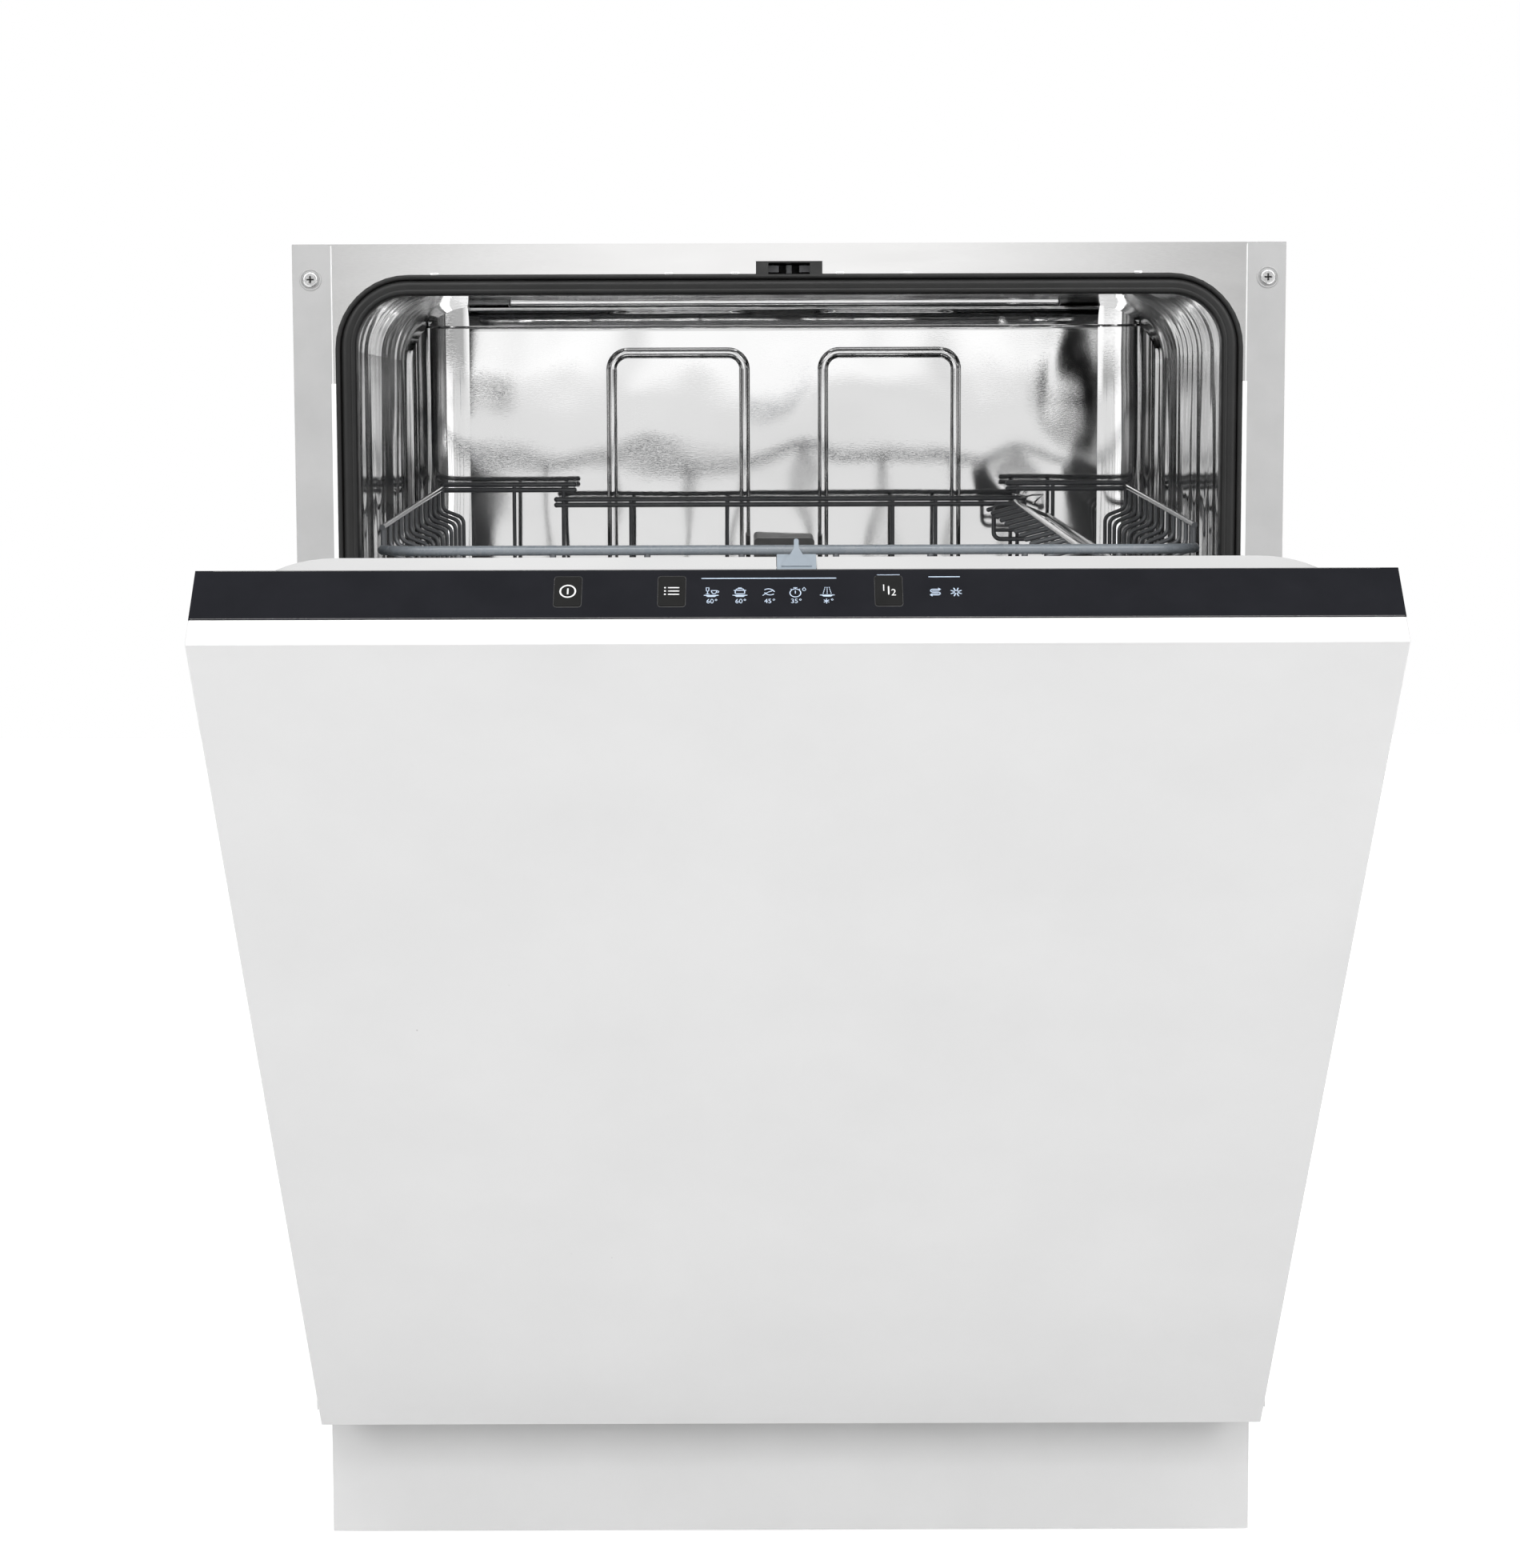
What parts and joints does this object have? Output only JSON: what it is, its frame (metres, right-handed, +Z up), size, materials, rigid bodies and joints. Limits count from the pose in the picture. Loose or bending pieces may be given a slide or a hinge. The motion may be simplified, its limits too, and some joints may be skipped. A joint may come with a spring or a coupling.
{
  "type": "built-in dishwasher",
  "caption": "Fully integrated built-in dishwasher with the door ajar: white front panel, black top-edge controls, steel tub with wire racks, spray arms, hinges, latch, pumps and feet.",
  "frame": {"origin": "on the floor, under the middle of the cabinet's front plane", "axes": "+X across to the right as seen from the front, +Y from the front to the back, +Z up"},
  "size_m": [0.598, 0.9656, 0.8185],
  "materials": {
    "stainless": "bright polished stainless steel",
    "strip_paint": "satin pale grey paint",
    "zinc_steel": "zinc-coated sheet steel",
    "screw_steel": "bright zinc-plated steel",
    "black_rubber": "matt black rubber",
    "white_panel": "satin white lacquered board",
    "kick_paint": "satin off-white paint",
    "black_fascia": "gloss black plastic",
    "rack_coat": "dark grey vinyl coat on steel wire",
    "grey_plastic": "satin grey polypropylene",
    "pale_plastic": "satin pale blue-grey plastic",
    "black_plastic": "satin black plastic",
    "felt": "dark insulating felt"
  },
  "bodies": {
    "cabinet": {"tub_wrapper": "stainless", "tub_back": "stainless", "tub_floor": "stainless", "front_frame": "stainless", "door_gasket": "black_rubber", "side_strips": "strip_paint", "strip_screws": "screw_steel", "side_panels": "zinc_steel", "rear_panel": "zinc_steel", "top_insulation": "felt", "worktop_brackets": "zinc_steel", "latch_housing": "black_plastic", "base_tray": "black_plastic", "kick_plate": "kick_paint", "sump": "black_plastic", "filter_plate": "stainless", "circulation_pump": "black_plastic", "drain_pump": "black_plastic", "softener_tank": "pale_plastic", "inlet_valve": "pale_plastic", "air_break_tank": "pale_plastic", "spray_feed_duct": "grey_plastic", "rack_rails": "grey_plastic", "hinge_brackets": "zinc_steel", "door_springs": "zinc_steel"},
    "door": {"door_outer_panel": "zinc_steel", "door_inner_panel": "stainless", "control_panel": "black_fascia", "control_box": "black_plastic", "door_strike": "pale_plastic", "furniture_panel": "white_panel", "furniture_brackets": "zinc_steel", "hinge_arms": "zinc_steel", "dispenser_body": "grey_plastic", "door_bottom_seal": "black_rubber"},
    "upper_rack": {"upper_rack": "rack_coat", "upper_slides": "grey_plastic", "upper_spray_feed": "grey_plastic"},
    "lower_rack": {"lower_rack": "rack_coat", "cutlery_basket": "grey_plastic"},
    "power_button": {"power_button": "black_fascia"},
    "program_button": {"program_button": "black_fascia"},
    "half_load_button": {"half_load_button": "black_fascia"},
    "dispenser_lid": {"dispenser_lid": "grey_plastic"},
    "rinse_aid_cap": {"rinse_aid_cap": "grey_plastic"},
    "latch_jaw_left": {"latch_jaw_left": "black_plastic"},
    "latch_jaw_right": {"latch_jaw_right": "black_plastic"},
    "cup_shelf": {"cup_shelf": "rack_coat"},
    "upper_spray_arm": {"upper_spray_arm": "grey_plastic"},
    "lower_wheels_front": {"lower_wheels_front": "grey_plastic"},
    "lower_wheels_back": {"lower_wheels_back": "grey_plastic"},
    "tine_row_left": {"tine_row_left": "rack_coat"},
    "tine_row_right": {"tine_row_right": "rack_coat"},
    "lower_spray_arm": {"lower_spray_arm": "grey_plastic"},
    "filter_cylinder": {"filter_cylinder": "grey_plastic"},
    "salt_cap": {"salt_cap": "grey_plastic"},
    "foot_1": {"foot_1": "black_plastic"},
    "foot_2": {"foot_2": "black_plastic"},
    "foot_3": {"foot_3": "black_plastic"},
    "foot_4": {"foot_4": "black_plastic"}
  },
  "joints": [
    {"name": "door_hinge", "type": "hinge", "parent": "cabinet", "child": "door", "pos_m": [0, 0.0145, 0.2145], "axis": [1, 0, 0], "range_deg": [-42, 48], "deforming": ["door_springs"]},
    {"name": "upper_rack_slide", "type": "slide", "parent": "cabinet", "child": "upper_rack", "axis": [0, -1, 0], "range_m": [0, 0.28]},
    {"name": "lower_rack_slide", "type": "slide", "parent": "cabinet", "child": "lower_rack", "axis": [0, -1, 0], "range_m": [0, 0.06]},
    {"name": "cup_shelf_hinge", "type": "hinge", "parent": "upper_rack", "child": "cup_shelf", "pos_m": [0.177, 0.27, 0.641], "axis": [-0.0456, 0.997, 0.0627], "range_deg": [0, 60]},
    {"name": "upper_spray_spin", "type": "hinge", "parent": "upper_rack", "child": "upper_spray_arm", "pos_m": [0, 0.24, 0.478], "axis": [0, 0, 1], "continuous": true},
    {"name": "lower_spray_spin", "type": "hinge", "parent": "cabinet", "child": "lower_spray_arm", "pos_m": [0, 0.235, 0.236], "axis": [0, 0, 1], "continuous": true},
    {"name": "filter_twist", "type": "hinge", "parent": "cabinet", "child": "filter_cylinder", "pos_m": [0, 0.318, 0.19], "axis": [0, 0, 1], "range_deg": [0, 40]},
    {"name": "salt_cap_turn", "type": "hinge", "parent": "cabinet", "child": "salt_cap", "pos_m": [-0.205, 0.205, 0.21], "axis": [0, 0, 1], "range_deg": [0, 270]},
    {"name": "dispenser_lid_slide", "type": "slide", "parent": "door", "child": "dispenser_lid", "axis": [0, -0.6691, 0.7431], "range_m": [0, 0.06]},
    {"name": "rinse_aid_cap_turn", "type": "hinge", "parent": "door", "child": "rinse_aid_cap", "pos_m": [0.045, -0.1523, 0.38929], "axis": [0, 0.7431, 0.6691], "range_deg": [0, 90]},
    {"name": "latch_jaw_left_swing", "type": "hinge", "parent": "cabinet", "child": "latch_jaw_left", "pos_m": [-0.01, 0.024, 0.80185], "axis": [0, 0, 1], "range_deg": [0, 12]},
    {"name": "latch_jaw_right_swing", "type": "hinge", "parent": "cabinet", "child": "latch_jaw_right", "pos_m": [0.01, 0.024, 0.80185], "axis": [0, 0, -1], "range_deg": [0, 12]},
    {"name": "power_button_press", "type": "slide", "parent": "door", "child": "power_button", "axis": [0, 0.6691, -0.7431], "range_m": [0, 0.0015], "stiffness_N_per_m": 500},
    {"name": "program_button_press", "type": "slide", "parent": "door", "child": "program_button", "axis": [0, 0.6691, -0.7431], "range_m": [0, 0.0015], "stiffness_N_per_m": 500},
    {"name": "half_load_button_press", "type": "slide", "parent": "door", "child": "half_load_button", "axis": [0, 0.6691, -0.7431], "range_m": [0, 0.0015], "stiffness_N_per_m": 500},
    {"name": "lower_wheels_front_roll", "type": "hinge", "parent": "lower_rack", "child": "lower_wheels_front", "pos_m": [0, 0.11, 0.2255], "axis": [1, 0, 0], "continuous": true},
    {"name": "lower_wheels_back_roll", "type": "hinge", "parent": "lower_rack", "child": "lower_wheels_back", "pos_m": [0, 0.37, 0.2255], "axis": [1, 0, 0], "continuous": true},
    {"name": "tine_row_left_fold", "type": "hinge", "parent": "lower_rack", "child": "tine_row_left", "pos_m": [-0.11, 0.245, 0.2605], "axis": [0, 1, 0], "range_deg": [0, 80]},
    {"name": "tine_row_right_fold", "type": "hinge", "parent": "lower_rack", "child": "tine_row_right", "pos_m": [0.025, 0.245, 0.2605], "axis": [0, 1, 0], "range_deg": [0, 80]},
    {"name": "foot_1_turn", "type": "hinge", "parent": "cabinet", "child": "foot_1", "pos_m": [-0.255, 0.1, 0.03], "axis": [0, 0, 1], "continuous": true},
    {"name": "foot_2_turn", "type": "hinge", "parent": "cabinet", "child": "foot_2", "pos_m": [0.255, 0.1, 0.03], "axis": [0, 0, 1], "continuous": true},
    {"name": "foot_3_turn", "type": "hinge", "parent": "cabinet", "child": "foot_3", "pos_m": [-0.255, 0.47, 0.03], "axis": [0, 0, 1], "continuous": true},
    {"name": "foot_4_turn", "type": "hinge", "parent": "cabinet", "child": "foot_4", "pos_m": [0.255, 0.47, 0.03], "axis": [0, 0, 1], "continuous": true}
  ],
  "couplings": [
    {"joint": "latch_jaw_right_swing", "follows": "latch_jaw_left_swing", "ratio": 1},
    {"joint": "lower_wheels_front_roll", "follows": "lower_rack_slide", "rad_per_m": 58.824},
    {"joint": "lower_wheels_back_roll", "follows": "lower_rack_slide", "rad_per_m": 58.824}
  ]
}
